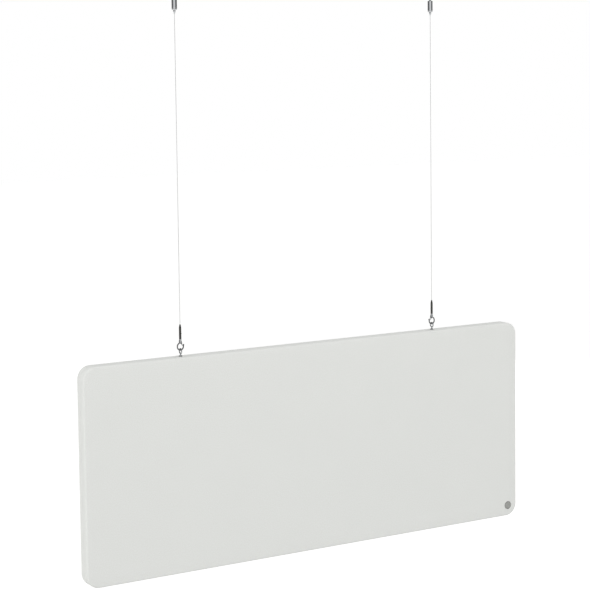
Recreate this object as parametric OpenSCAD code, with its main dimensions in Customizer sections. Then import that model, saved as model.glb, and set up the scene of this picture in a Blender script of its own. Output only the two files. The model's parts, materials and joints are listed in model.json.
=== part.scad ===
// Hanging acoustic panel: a fabric covered wood fibre screen on two steel wires.
// Origin: ceiling plane, midway between the two wires. +Z up, +X to the viewer's right.
// The panel stands in the XZ plane and its front faces -Y. All lengths in millimetres.

/* [Panel] */
// Width of the panel over its cover
panel_w = 1200; // [900:10:1800]
// Height of the panel over its cover
panel_h = 500; // [400:10:700]
// Thickness of the panel over its cover
panel_t = 36; // [30:1:50]
// Radius of the four corners seen from the front
corner_r = 30; // [24:1:38]
// Rounding of the edges between face and side
edge_r = 4; // [2:0.5:6]
// Thickness of the fabric with its fleece backing
cover_t = 2; // [1.5:0.25:3]
// Gap between the two covers along the seam
seam_gap = 0.6; // [0.3:0.1:1.5]

/* [Frame] */
// Height of the top and bottom rails
rail_w = 40; // [38:1:60]
// Width of the upright stiles
stile_w = 40; // [32:1:60]
// Diameter of the dowels in the corner joints
dowel_d = 8; // [6:1:10]
// Length of the dowels
dowel_len = 50; // [36:2:64]
// Distance between the two dowels of a joint
dowel_step = 18; // [14:1:20]
// Outer diameter of the threaded inserts
insert_d = 9; // [8:0.5:12]
// Length of the threaded inserts
insert_len = 16; // [12:1:24]

/* [Hanging] */
// Distance between the two wires
wire_spacing = 700; // [500:10:860]
// Height of the ceiling above the panel
drop = 832; // [500:1:1500]
// Diameter of the steel wire
wire_d = 1.2; // [1:0.1:1.5]

/* [Ceiling fixing] */
// Diameter of the ceiling plate
plate_d = 42; // [40:1:60]
// Thickness of the ceiling plate
plate_t = 4; // [3:0.5:6]
// Distance between its two screw holes
screw_step = 28; // [27:1:32]
// Diameter of the screw holes
screw_hole_d = 4.5; // [4:0.1:5]
// Diameter of the countersinks
sink_d = 8.4; // [7:0.1:8.8]
// Diameter of the swivel ball
ball_d = 9; // [8.5:0.1:9.4]
// Depth of the ball's centre under the ceiling
ball_z = 9.5; // [9.2:0.1:10.5]
// Diameter of the threaded boss round the ball
boss_d = 14; // [13:0.5:15]
// Diameter of the cap that holds the ball in
cap_d = 18; // [17:0.5:18.6]

/* [Wire gripper] */
// Diameter of the gripper's body
grip_d = 12; // [11:0.5:14]
// Length of the gripper's body
grip_len = 27; // [26:0.5:34]
// Depth of the gripper's top under the ceiling
grip_z = 20; // [19:0.5:26]
// Thickness of the wall at its lower end
grip_floor = 2; // [1.5:0.25:3]
// Diameter of the ball stud's shank
stud_d = 5; // [4:0.1:5]
// Length of the shank's thread inside the body
stud_grip = 7.5; // [5:0.5:8]
// Diameter of the release nozzle
nozzle_d = 5; // [4.4:0.1:5.6]
// Length of the nozzle below the body
nozzle_len = 8; // [6:0.5:10]
// Diameter of the nozzle's tip
tip_d = 3.4; // [3.2:0.1:4]
// Diameter of the three clamping balls
clamp_ball_d = 3; // [2.8:0.1:3.1]
// Diameter of the release spring's wire
spring_wire_d = 0.7; // [0.5:0.05:0.8]
// Number of turns of the release spring
spring_turns = 5; // [4:1:6]

/* [Hook] */
// Length of the sleeve over the wire's end
sleeve_len = 33.5; // [31:0.5:40]
// Diameter of the sleeve
sleeve_d = 5.5; // [5.2:0.1:6.5]
// Length of the sleeve's tapered top
sleeve_taper = 9; // [5:0.5:12]
// Diameter of the crimped ferrule
ferrule_d = 3; // [2.6:0.1:3.1]
// Length of the crimped ferrule
ferrule_len = 8.5; // [7:0.5:9]
// Diameter of the hook's wire
hook_wire_d = 3; // [2.6:0.1:3.1]
// Width of the hook's bowl over its wire
hook_w = 18; // [17:0.5:20]
// Height of the hook's lowest wire centre above the panel
hook_rest = 14.5; // [14:0.1:16]
// Height of the hook's joint pin above the bottom wire's centre
hook_rise = 20; // [19.5:0.1:22]
// Diameter of the hook's joint pin
pin_d = 2; // [1.8:0.1:2.4]
// Diameter of the gate's wire
gate_wire_d = 1.2; // [1:0.1:1.3]

/* [Eye] */
// Outer diameter of the screw eye
eye_d = 14; // [13.6:0.1:16]
// Diameter of the screw eye's wire
eye_wire_d = 2.8; // [2.4:0.1:2.9]
// Diameter of the screw eye's threaded shank
shank_d = 5; // [4:0.5:6]
// Diameter of the washer under the eye
washer_d = 8.5; // [8:0.5:12]
// Thickness of the washer
washer_t = 1; // [0.8:0.1:1.5]

/* [Badge] */
// Diameter of the plain metal disc
badge_d = 20; // [16:1:22]
// Thickness of the disc
badge_t = 1.2; // [1:0.1:2]
// Distance of its centre from the right and bottom edges
badge_inset = 27; // [22:0.5:30]
// Diameter of its two prongs
prong_d = 1.6; // [1.2:0.1:2]

/* [Hidden] */
$fn = 48;

// Clearances
thread_gap = 0.03;   // between a thread and its hole, per side
slide_gap = 0.05;    // between a sliding or turning round part and its bore, per side
side_gap = 0.15;     // between the hook's flat head and each fork ear
rest_gap = 0.3;      // between loose parts that bear on each other
touch_gap = 0.02;    // between a part and the one it presses on
over = 1;            // how far a cutting shape runs past a face

// Chamfers
fine_cut = 0.3;
small_cut = 0.4;
body_cut = 0.8;
rim_cut = 1;

// Ceiling fixing
seat_r = ball_d / 2 + slide_gap;
boss_h = 7;
boss_end = -plate_t - boss_h;
cap_floor = 2.5;
cap_end = boss_end - cap_floor;
seat_top = ball_d / 2 + 2 * slide_gap - ball_z;
relief_r = seat_r - 0.15;
relief_lean = 0.38;
relief_h = 2;

// Gripper
grip_top = -grip_z;
grip_end = grip_top - grip_len;
stud_end = grip_top - stud_grip;
chamber_top = stud_end - rest_gap;
floor_top = grip_end + grip_floor;
foot_cut = 1.2;
groove_z = grip_end + 3.1;
groove_depth = 0.35;
groove_mouth = 1;
groove_floor = 0.4;
chamber_r = 4.4;
throat_r = 3.5;
cone_h = 10;
wire_r = wire_d / 2;
wire_bore_r = wire_r + 0.15;
cage_r = throat_r - rest_gap;
cage_bottom = floor_top + 2 * slide_gap;
cage_h = 7.8;
cage_top = cage_bottom + cage_h;
clamp_z = cage_bottom + cage_h / 2;
clamp_r = wire_r + clamp_ball_d / 2 + touch_gap;
nozzle_end = grip_end - nozzle_len;
nozzle_taper = 4;
mouth_h = 1.4;
mouth_r = tip_d / 2 - fine_cut;
bend_depth = 1.2;
bend_z = nozzle_end + bend_depth;
tail_room = 3;
tail_top = chamber_top - tail_room;
tail_end = bend_z + wire_r + rest_gap;
spring_top = chamber_top - rest_gap;
spring_end = cage_top + rest_gap;
spring_r = cage_r - spring_wire_d / 2;
spring_path = helix(spring_r, spring_end + spring_wire_d / 2, spring_top - spring_wire_d / 2,
                    spring_turns, 12);

// Hook
panel_top = -drop;
rest_z = panel_top + hook_rest;
pin_z = rest_z + hook_rise;
hook_wire_r = hook_wire_d / 2;
bowl_r = hook_w / 2 - hook_wire_r;
bowl_z = rest_z + bowl_r;
head_r = 3.2;
tongue_t = 3;
ear_in = tongue_t / 2 + side_gap;
ear_r = sleeve_d / 2;
head_gap = 0.4;
slot_top = pin_z + head_r + head_gap;
fork_roof = 1.9;
sleeve_end = slot_top + fork_roof;
sleeve_top = sleeve_end + sleeve_len;
sleeve_bore_r = ferrule_d / 2 + 0.25;
sleeve_tip_wall = 0.7;
sleeve_tip_r = wire_bore_r + sleeve_tip_wall;
clevis_stud_len = 8;
ferrule_gap = 1.5;
ferrule_end = sleeve_end + clevis_stud_len + ferrule_gap;
ferrule_top = ferrule_end + ferrule_len;
screw_d = 2;
screw_rise = 2.5;
screw_z = ferrule_end + screw_rise;
screw_proud = 0.7;
screw_start = ferrule_d / 2 + touch_gap;
screw_len = sleeve_d / 2 + screw_proud - screw_start;
key_r = 0.5;
key_depth = 0.8;
pin_proud = 0.2;
spine_r = 6;
spine_turn = 50;
spine_rise = 2;
nose_rise = 4.5;
nose_lean = 10;
neck_x = -0.9;
spine_centre = [spine_r - bowl_r, bowl_z + spine_rise];
spine_bend = spine_centre + spine_r * [-cos(spine_turn), sin(spine_turn)];
neck = [neck_x, 0, spine_bend[1] + (neck_x - spine_bend[0]) / tan(spine_turn)];
nose_run = [sin(nose_lean), 0, cos(nose_lean)];
nose = [bowl_r, 0, bowl_z] + nose_rise * nose_run;
hook_path = concat(
    [for (a = [80 : -20 : 0]) nose + hook_wire_r * sin(a) * nose_run],
    arc([0, bowl_z], bowl_r, 0, -180, 16),
    arc(spine_centre, spine_r, 180, 180 - spine_turn, 5),
    [neck]
);
hook_radii = [for (i = [0 : len(hook_path) - 1]) hook_wire_r * (i < 4 ? cos(80 - 20 * i) : 1)];
gate_x = 1.8;
gate_drop = 4.3;
gate_z = pin_z - gate_drop;
gate_stop = 2.6;
gate_lug_r = 1.9;
gate_r = gate_wire_d / 2;
gate_leg_r = gate_r - 0.03;
gate_lap = 0.2;
gate_y = tongue_t / 2 + side_gap + gate_r;
nose_foot_x = bowl_r + gate_stop * tan(nose_lean);
gate_end_x = nose_foot_x - hook_wire_r - gate_r - rest_gap;
gate_end_z = bowl_z + gate_stop;
gate_len = norm([gate_end_x - gate_x, gate_end_z - gate_z]);
gate_run = [gate_end_x - gate_x, 0, gate_end_z - gate_z] / gate_len;
gate_bend_r = 0.9;
gate_bends = [
    [gate_bend_r, gate_y - gate_bend_r, -90],
    [gate_len - gate_bend_r, gate_y - gate_bend_r, 0],
    [gate_len - gate_bend_r, gate_bend_r - gate_y, 90],
    [gate_bend_r, gate_bend_r - gate_y, 180]
];
gate_path = [
    for (bend = gate_bends, i = [0 : 4])
        let (a = bend[2] + 90 * i / 4)
        gate_point(bend[0] + gate_bend_r * sin(a), bend[1] + gate_bend_r * cos(a))
];

// Eye
eye_wire_r = eye_wire_d / 2;
ring_r = eye_d / 2 - eye_wire_r;
ring_z = rest_z + hook_wire_r + rest_gap - ring_r + eye_wire_r;
collar_r = shank_d / 2 + 0.5;
collar_h = 1.4;
shank_short = 1.5;
shank_cut = 0.6;
shank_end = panel_top - cover_t - insert_len + shank_short;

// Panel
inner_w = panel_w - 2 * cover_t;
inner_h = panel_h - 2 * cover_t;
inner_t = panel_t - 2 * cover_t;
inner_r = corner_r - cover_t;
panel_mid = panel_top - panel_h / 2;
opening_w = inner_w - 2 * stile_w;
opening_h = inner_h - 2 * rail_w;
front_y = -panel_t / 2;
badge_x = panel_w / 2 - badge_inset;
badge_z = panel_top - panel_h + badge_inset;
badge_rim_w = 1.2;
badge_rim_cut = 0.5;
badge_dish = badge_t * 0.3;
prong_step = badge_d * 0.45;
prong_len = 9;

// Colours
chrome = [0.78, 0.79, 0.80];
steel = [0.62, 0.63, 0.64];
dark_steel = [0.22, 0.22, 0.23];
brass = [0.72, 0.60, 0.35];
pine = [0.82, 0.68, 0.47];
felt = [0.86, 0.86, 0.84];
wool = [0.70, 0.66, 0.55];

// Places a left-hand part at its wire; the right side is its mirror image
module on_side(side) {
    translate([side * wire_spacing / 2, 0, 0])
        mirror([side > 0 ? 1 : 0, 0, 0])
            children();
}

// A cylinder from one height to another
module post(r, low, high) {
    translate([0, 0, low])
        cylinder(r = r, h = high - low);
}

// A cylinder along Y, centred on Y = 0
module cross_pin(r, len) {
    rotate([90, 0, 0])
        cylinder(r = r, h = len, center = true);
}

// A rectangle with round corners, centred, in the plane of the sketch
module rounded_rect(w, h, r) {
    square([w - 2 * r, h], center = true);
    square([w, h - 2 * r], center = true);
    for (x = [-1, 1], y = [-1, 1])
        translate([x * (w / 2 - r), y * (h / 2 - r)])
            circle(r = r);
}

// The space inside the cover, standing upright
module inner_block(t) {
    translate([0, 0, panel_mid])
        rotate([90, 0, 0])
            linear_extrude(height = t, center = true)
                rounded_rect(inner_w, inner_h, inner_r);
}

// The outside of the covered panel, with soft edges
module outer_block() {
    hull()
        for (x = [-1, 1], z = [-1, 1])
            translate([x * (panel_w / 2 - corner_r), 0, panel_mid + z * (panel_h / 2 - corner_r)])
                rotate([90, 0, 0])
                    rotate_extrude($fn = 40)
                        polygon(soft_edge());
}

// Half section of a disc with rounded rims
function soft_edge() = concat(
    [[0, -panel_t / 2]],
    [for (a = [-90 : 18 : 0]) [corner_r - edge_r + edge_r * cos(a),
                               edge_r - panel_t / 2 + edge_r * sin(a)]],
    [for (a = [0 : 18 : 90]) [corner_r - edge_r + edge_r * cos(a),
                              panel_t / 2 - edge_r + edge_r * sin(a)]],
    [[0, panel_t / 2]]
);

// A point of the gate's plane: s along its legs from the pivot, y across them
function gate_point(s, y) = [gate_x + s * gate_run[0], y, gate_z + s * gate_run[2]];

// Points of an arc in the XZ plane
function arc(centre, r, from, to, steps) =
    [for (i = [0 : steps])
        let (a = from + (to - from) * i / steps)
        [centre[0] + r * cos(a), 0, centre[1] + r * sin(a)]];

// Points of a helix about the Z axis
function helix(r, low, high, turns, per_turn) =
    [for (i = [0 : turns * per_turn])
        let (a = i * 360 / per_turn)
        [r * cos(a), r * sin(a), low + (high - low) * i / (turns * per_turn)]];

// The ring of a round wire at one point of its path
function unit(v) = v / norm(v);
function run_at(path, i) = unit(path[min(i + 1, len(path) - 1)] - path[max(i - 1, 0)]);
function ring(path, i, r, up, sides) =
    let (t = run_at(path, i), n = unit(cross(up, t)), b = cross(t, n))
    [for (k = [0 : sides - 1])
        path[i] + r * cos(k * 360 / sides) * n + r * sin(k * 360 / sides) * b];

// A wire swept along its path; radii holds one radius for each point
module tube(path, radii, up, sides = 8) {
    last = len(path) - 1;
    points = [for (i = [0 : last]) each ring(path, i, radii[i], up, sides)];
    walls = [for (i = [0 : last - 1], k = [0 : sides - 1])
        let (a = i * sides + k, b = i * sides + (k + 1) % sides)
        each [[a, a + sides, b], [b, a + sides, b + sides]]];
    ends = [
        [for (k = [0 : sides - 1]) k],
        [for (k = [sides - 1 : -1 : 0]) last * sides + k]
    ];
    polyhedron(points = points, faces = concat(walls, ends));
}

// Two discs joined by their outer tangents, in the plane of the sketch
module link(a, ra, b, rb) {
    turn = atan2(b[1] - a[1], b[0] - a[0]);
    lean = acos((ra - rb) / norm(b - a));
    translate(a)
        circle(r = ra);
    translate(b)
        circle(r = rb);
    polygon([
        a + ra * [cos(turn + lean), sin(turn + lean)],
        b + rb * [cos(turn + lean), sin(turn + lean)],
        b + rb * [cos(turn - lean), sin(turn - lean)],
        a + ra * [cos(turn - lean), sin(turn - lean)]
    ]);
}

module ceiling_plate(side) {
    color(chrome)
        on_side(side)
            difference() {
                rotate_extrude($fn = 72)
                    polygon([
                        [0, 0], [plate_d / 2, 0], [plate_d / 2, rim_cut - plate_t],
                        [plate_d / 2 - rim_cut, -plate_t], [boss_d / 2, -plate_t],
                        [boss_d / 2, boss_end], [0, boss_end]
                    ]);
                post(seat_r, boss_end - over, seat_top);
                for (y = [-1, 1])
                    translate([0, y * screw_step / 2, 0]) {
                        post(screw_hole_d / 2, -plate_t - over, over);
                        translate([0, 0, -plate_t])
                            cylinder(r1 = sink_d / 2, r2 = screw_hole_d / 2,
                                     h = (sink_d - screw_hole_d) / 2);
                    }
            }
}

module socket_cap(side) {
    color(chrome)
        on_side(side)
            difference() {
                rotate_extrude()
                    polygon([
                        [0, cap_end], [cap_d / 2 - rim_cut, cap_end],
                        [cap_d / 2, cap_end + rim_cut], [cap_d / 2, -plate_t], [0, -plate_t]
                    ]);
                post(boss_d / 2, boss_end, over);
                translate([0, 0, -ball_z])
                    sphere(r = seat_r);
                translate([0, 0, cap_end - touch_gap])
                    cylinder(r1 = relief_r, r2 = relief_r - relief_lean * (relief_h + touch_gap),
                             h = relief_h + touch_gap);
            }
}

module ball_stud(side) {
    color(steel)
        on_side(side)
            union() {
                translate([0, 0, -ball_z])
                    sphere(r = ball_d / 2);
                post(stud_d / 2, stud_end, -ball_z);
            }
}

module gripper_body(side) {
    color(chrome)
        on_side(side)
            rotate_extrude()
                polygon([
                    [stud_d / 2 + thread_gap, grip_top],
                    [grip_d / 2 - body_cut, grip_top],
                    [grip_d / 2, grip_top - body_cut],
                    [grip_d / 2, groove_z + groove_mouth / 2],
                    [grip_d / 2 - groove_depth, groove_z + groove_floor / 2],
                    [grip_d / 2 - groove_depth, groove_z - groove_floor / 2],
                    [grip_d / 2, groove_z - groove_mouth / 2],
                    [grip_d / 2, grip_end + foot_cut],
                    [grip_d / 2 - foot_cut, grip_end],
                    [nozzle_d / 2 + slide_gap, grip_end],
                    [nozzle_d / 2 + slide_gap, floor_top],
                    [throat_r, floor_top],
                    [chamber_r, floor_top + cone_h],
                    [chamber_r, chamber_top],
                    [stud_d / 2 + thread_gap, chamber_top]
                ]);
}

module release_spring(side) {
    color(steel)
        on_side(side)
            tube(spring_path, [for (p = spring_path) spring_wire_d / 2], [0, 0, 1], 6);
}

module wire_tail(side) {
    color(steel)
        on_side(side)
            post(wire_r, tail_end, tail_top);
}

module release_plunger(side) {
    color(chrome)
        on_side(side)
            difference() {
                rotate_extrude()
                    polygon([
                        [wire_bore_r, cage_top], [cage_r - fine_cut, cage_top],
                        [cage_r, cage_top - fine_cut], [cage_r, cage_bottom],
                        [nozzle_d / 2, cage_bottom], [nozzle_d / 2, nozzle_end + nozzle_taper],
                        [tip_d / 2, nozzle_end + fine_cut], [mouth_r, nozzle_end],
                        [wire_bore_r, nozzle_end + mouth_h]
                    ]);
                for (a = [0 : 120 : 240])
                    translate([0, 0, clamp_z])
                        rotate([0, 90, a])
                            cylinder(r = clamp_ball_d / 2 + slide_gap, h = cage_r + over);
            }
}

module clamp_balls(side) {
    color(steel)
        on_side(side)
            for (a = [0 : 120 : 240])
                rotate([0, 0, a])
                    translate([clamp_r, 0, clamp_z])
                        sphere(r = clamp_ball_d / 2);
}

module wire(side) {
    color(steel)
        on_side(side)
            union() {
                post(wire_r, ferrule_end, bend_z);
                translate([0, 0, bend_z])
                    sphere(r = wire_r);
            }
}

module wire_ferrule(side) {
    color(steel)
        on_side(side)
            difference() {
                post(ferrule_d / 2, ferrule_end, ferrule_top);
                post(wire_r, ferrule_end - over, ferrule_top + over);
            }
}

module hook_sleeve(side) {
    color(dark_steel)
        on_side(side)
            difference() {
                rotate_extrude()
                    polygon([
                        [0, sleeve_end], [sleeve_d / 2 - small_cut, sleeve_end],
                        [sleeve_d / 2, sleeve_end + small_cut],
                        [sleeve_d / 2, sleeve_top - sleeve_taper],
                        [sleeve_tip_r + small_cut / 2, sleeve_top - small_cut],
                        [sleeve_tip_r, sleeve_top],
                        [0, sleeve_top]
                    ]);
                post(sleeve_bore_r, sleeve_end - over, ferrule_top);
                post(wire_bore_r, ferrule_top - over, sleeve_top + over);
                translate([0, 0, screw_z])
                    rotate([0, 90, 0])
                        cylinder(r = screw_d / 2 + thread_gap, h = sleeve_d);
            }
}

module sleeve_screw(side) {
    color(steel)
        on_side(side)
            translate([screw_start, 0, screw_z])
                rotate([0, 90, 0])
                    difference() {
                        cylinder(r = screw_d / 2, h = screw_len);
                        translate([0, 0, screw_len - key_depth])
                            cylinder(r = key_r, h = key_depth + over, $fn = 6);
                    }
}

module hook_clevis(side) {
    color(steel)
        on_side(side)
            difference() {
                union() {
                    post(ear_r, pin_z, sleeve_end);
                    post(sleeve_bore_r - thread_gap, sleeve_end - over,
                         sleeve_end + clevis_stud_len);
                    translate([0, 0, pin_z])
                        intersection() {
                            cross_pin(ear_r, sleeve_d);
                            post(ear_r, -ear_r, ear_r);
                        }
                }
                translate([-sleeve_d, -ear_in, pin_z - sleeve_d])
                    cube([2 * sleeve_d, 2 * ear_in, slot_top - pin_z + sleeve_d]);
                translate([0, 0, pin_z])
                    cross_pin(pin_d / 2, 2 * sleeve_d);
            }
}

module hook_pin(side) {
    color(steel)
        on_side(side)
            translate([0, 0, pin_z])
                cross_pin(pin_d / 2, sleeve_d + 2 * pin_proud);
}

module snap_hook(side) {
    color(steel)
        on_side(side)
            difference() {
                union() {
                    tube(hook_path, hook_radii, [0, 1, 0], 10);
                    rotate([90, 0, 0])
                        linear_extrude(height = tongue_t, center = true)
                            link([0, pin_z], head_r, [gate_x, gate_z], gate_lug_r);
                }
                translate([0, 0, pin_z])
                    cross_pin(pin_d / 2 + slide_gap, 2 * tongue_t);
                translate([gate_x, 0, gate_z])
                    cross_pin(gate_r + slide_gap, 2 * tongue_t);
            }
}

module hook_gate(side) {
    color(steel)
        on_side(side)
            union() {
                translate([gate_x, 0, gate_z])
                    cross_pin(gate_r, 2 * (gate_y - gate_bend_r) + gate_lap);
                tube(gate_path, [for (p = gate_path) gate_leg_r], cross(gate_run, [0, 1, 0]));
            }
}

module screw_eye(side) {
    color(steel)
        on_side(side)
            union() {
                translate([0, 0, ring_z])
                    rotate([0, 90, 0])
                        rotate_extrude()
                            translate([ring_r, 0])
                                circle(r = eye_wire_r, $fn = 32);
                rotate_extrude()
                    polygon([
                        [0, shank_end], [shank_d / 2 - shank_cut, shank_end],
                        [shank_d / 2, shank_end + shank_cut], [shank_d / 2, panel_top + washer_t],
                        [collar_r, panel_top + washer_t],
                        [collar_r, panel_top + washer_t + collar_h],
                        [eye_wire_r, ring_z - ring_r], [0, ring_z - ring_r]
                    ]);
            }
}

module eye_washer(side) {
    color(steel)
        on_side(side)
            difference() {
                post(washer_d / 2, panel_top, panel_top + washer_t);
                post(shank_d / 2 + slide_gap, panel_top - over, panel_top + washer_t + over);
            }
}

module threaded_insert(side) {
    color(brass)
        on_side(side)
            difference() {
                post(insert_d / 2, panel_top - cover_t - insert_len, panel_top - cover_t);
                post(shank_d / 2 + thread_gap, panel_top - cover_t - insert_len - over,
                     panel_top - cover_t + over);
            }
}

// A pair of dowels at each corner joint, as solids or, with a clearance, as holes
module dowels(gap) {
    for (x = [-1, 1], z = [-1, 1], k = [-0.5, 0.5])
        translate([x * (opening_w / 2 + stile_w / 2 + k * dowel_step), 0,
                   panel_mid + z * opening_h / 2])
            cylinder(r = dowel_d / 2 + gap, h = dowel_len + 2 * gap, center = true);
}

module badge_prongs(gap) {
    for (k = [-0.5, 0.5])
        translate([badge_x + k * prong_step, 0, badge_z])
            rotate([90, 0, 0])
                translate([0, 0, -front_y - prong_len - gap])
                    cylinder(r = prong_d / 2 + gap, h = prong_len + 2 * gap);
}

module rail(z) {
    color(pine)
        difference() {
            intersection() {
                inner_block(inner_t);
                translate([0, 0, z])
                    cube([panel_w, panel_t, rail_w], center = true);
            }
            dowels(slide_gap);
            for (x = [-1, 1])
                translate([x * wire_spacing / 2, 0, panel_top - cover_t - insert_len])
                    cylinder(r = insert_d / 2, h = insert_len + over);
            badge_prongs(slide_gap);
        }
}

module top_rail() {
    rail(panel_top - cover_t - rail_w / 2);
}

module bottom_rail() {
    rail(panel_top - panel_h + cover_t + rail_w / 2);
}

module stile(side) {
    color(pine)
        difference() {
            translate([side * (opening_w + stile_w) / 2, 0, panel_mid])
                cube([stile_w, inner_t, opening_h], center = true);
            dowels(slide_gap);
        }
}

module corner_dowels() {
    color(pine)
        dowels(0);
}

module acoustic_core() {
    color(wool)
        translate([0, 0, panel_mid])
            cube([opening_w, inner_t, opening_h], center = true);
}

// One half of the fabric cover: -1 is the front, 1 the back
module cover(face) {
    color(felt)
        difference() {
            intersection() {
                outer_block();
                translate([-panel_w, face > 0 ? seam_gap / 2 : -panel_t, panel_mid - panel_h])
                    cube([2 * panel_w, panel_t - seam_gap / 2, 2 * panel_h]);
            }
            inner_block(inner_t);
            for (x = [-1, 1])
                translate([x * wire_spacing / 2, 0, 0])
                    post(shank_d / 2 + rest_gap, panel_top - rail_w, panel_top + over);
            badge_prongs(slide_gap);
        }
}

module badge_disc() {
    color(chrome)
        union() {
            translate([badge_x, front_y, badge_z])
                rotate([90, 0, 0])
                    rotate_extrude()
                        polygon([
                            [0, 0], [badge_d / 2, 0],
                            [badge_d / 2, badge_t - badge_rim_cut],
                            [badge_d / 2 - badge_rim_cut, badge_t],
                            [badge_d / 2 - badge_rim_w, badge_t],
                            [badge_d / 2 - badge_rim_w - small_cut, badge_t - badge_dish],
                            [0, badge_t - badge_dish]
                        ]);
            badge_prongs(0);
        }
}

ceiling_plate(-1);  // ceiling_plate_left
ceiling_plate(1);  // ceiling_plate_right
socket_cap(-1);  // socket_cap_left
socket_cap(1);  // socket_cap_right
ball_stud(-1);  // ball_stud_left
ball_stud(1);  // ball_stud_right
gripper_body(-1);  // gripper_body_left
gripper_body(1);  // gripper_body_right
release_spring(-1);  // release_spring_left
release_spring(1);  // release_spring_right
wire_tail(-1);  // wire_tail_left
wire_tail(1);  // wire_tail_right
release_plunger(-1);  // release_plunger_left
release_plunger(1);  // release_plunger_right
clamp_balls(-1);  // clamp_balls_left
clamp_balls(1);  // clamp_balls_right
wire(-1);  // wire_left
wire(1);  // wire_right
wire_ferrule(-1);  // wire_ferrule_left
wire_ferrule(1);  // wire_ferrule_right
hook_sleeve(-1);  // hook_sleeve_left
hook_sleeve(1);  // hook_sleeve_right
sleeve_screw(-1);  // sleeve_screw_left
sleeve_screw(1);  // sleeve_screw_right
hook_clevis(-1);  // hook_clevis_left
hook_clevis(1);  // hook_clevis_right
hook_pin(-1);  // hook_pin_left
hook_pin(1);  // hook_pin_right
snap_hook(-1);  // snap_hook_left
snap_hook(1);  // snap_hook_right
hook_gate(-1);  // hook_gate_left
hook_gate(1);  // hook_gate_right
screw_eye(-1);  // screw_eye_left
screw_eye(1);  // screw_eye_right
eye_washer(-1);  // eye_washer_left
eye_washer(1);  // eye_washer_right
threaded_insert(-1);  // threaded_insert_left
threaded_insert(1);  // threaded_insert_right
top_rail();
bottom_rail();
stile(-1);  // stile_left
stile(1);  // stile_right
corner_dowels();
acoustic_core();
cover(-1);  // front_cover
cover(1);  // back_cover
badge_disc();
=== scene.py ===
import bpy
import json
from math import atan2, cos, hypot, pi, radians, sin
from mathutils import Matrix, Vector

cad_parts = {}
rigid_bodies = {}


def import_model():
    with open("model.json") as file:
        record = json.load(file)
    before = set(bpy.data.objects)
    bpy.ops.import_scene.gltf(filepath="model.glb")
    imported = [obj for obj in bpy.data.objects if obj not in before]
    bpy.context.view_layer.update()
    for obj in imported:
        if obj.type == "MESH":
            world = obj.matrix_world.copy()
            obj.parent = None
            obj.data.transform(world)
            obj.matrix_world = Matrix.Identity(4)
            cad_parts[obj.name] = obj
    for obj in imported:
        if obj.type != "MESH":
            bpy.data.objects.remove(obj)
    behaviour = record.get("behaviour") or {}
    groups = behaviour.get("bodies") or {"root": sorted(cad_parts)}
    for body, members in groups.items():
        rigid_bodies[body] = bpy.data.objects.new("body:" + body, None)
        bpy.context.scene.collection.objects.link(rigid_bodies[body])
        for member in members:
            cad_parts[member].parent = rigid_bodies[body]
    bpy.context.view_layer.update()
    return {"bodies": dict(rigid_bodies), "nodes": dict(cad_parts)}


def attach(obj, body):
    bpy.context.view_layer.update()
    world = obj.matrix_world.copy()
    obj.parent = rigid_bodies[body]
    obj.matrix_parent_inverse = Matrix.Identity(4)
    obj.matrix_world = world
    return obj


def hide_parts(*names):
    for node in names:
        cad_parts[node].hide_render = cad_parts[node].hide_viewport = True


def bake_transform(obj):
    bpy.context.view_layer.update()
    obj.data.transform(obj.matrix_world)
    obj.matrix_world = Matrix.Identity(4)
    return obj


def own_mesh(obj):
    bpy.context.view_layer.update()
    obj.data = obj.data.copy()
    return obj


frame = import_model()
nodes = frame["nodes"]
mm = 0.001
panelTop = -832      # mm under the ceiling; the lower hardware is placed from here
print("frame loaded:", len(nodes), "CAD nodes")


# Small helpers

def hexColour(text):
    channels = [int(text[i:i + 2], 16) / 255 for i in (1, 3, 5)]
    linear = [c / 12.92 if c <= 0.04045 else ((c + 0.055) / 1.055) ** 2.4 for c in channels]
    return (*linear, 1.0)


def addNode(tree, kind, links=None, **settings):
    node = tree.nodes.new("ShaderNode" + kind)
    for name, value in settings.items():
        setattr(node, name, value)
    for name, value in (links or {}).items():
        if isinstance(value, bpy.types.NodeSocket):
            tree.links.new(value, node.inputs[name])
        else:
            node.inputs[name].default_value = value
    return node


def startMaterial(name, links):
    material = bpy.data.materials.new(name)
    material.use_nodes = True
    tree = material.node_tree
    tree.nodes.clear()
    shader = addNode(tree, "BsdfPrincipled", links)
    addNode(tree, "OutputMaterial", {"Surface": shader.outputs["BSDF"]})
    return material, tree, shader


def addBump(tree, shader, height, strength, distance):
    bump = addNode(tree, "Bump", {"Height": height, "Strength": strength, "Distance": distance})
    tree.links.new(bump.outputs["Normal"], shader.inputs["Normal"])


# A ramp from one colour to another, and where it starts and ends
def twoTones(tree, factor, tones, span=(0, 1)):
    ramp = addNode(tree, "ValToRGB", {"Fac": factor})
    for element, tone, place in zip(ramp.color_ramp.elements, tones, span):
        element.position = place
        element.color = hexColour(tone)
    return ramp.outputs["Color"]


def clearSelection():
    if bpy.context.object and bpy.context.object.mode != "OBJECT":
        bpy.ops.object.mode_set(mode="OBJECT")
    bpy.ops.object.select_all(action="DESELECT")


def makeActive(piece):
    clearSelection()
    piece.select_set(True)
    bpy.context.view_layer.objects.active = piece


def applyModifier(piece, kind, **settings):
    makeActive(piece)
    modifier = piece.modifiers.new(kind.lower(), kind)
    for name, value in settings.items():
        setattr(modifier, name, value)
    bpy.ops.object.modifier_apply(modifier=modifier.name)


def applyPlace(piece):
    makeActive(piece)
    bpy.ops.object.transform_apply(location=True, rotation=True, scale=True)


# Surfaces that coincide give a boolean an uncertain result, so a turned piece is rotated by this
# angle wherever a cut would else run along its own edges
offGrid = radians(2)


def joinBoolean(piece, other, operation):
    applyModifier(piece, "BOOLEAN", operation=operation, object=other, solver="EXACT")
    bpy.data.objects.remove(other)
    if not piece.data.polygons:
        raise RuntimeError("a boolean left nothing of " + piece.name)


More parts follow.
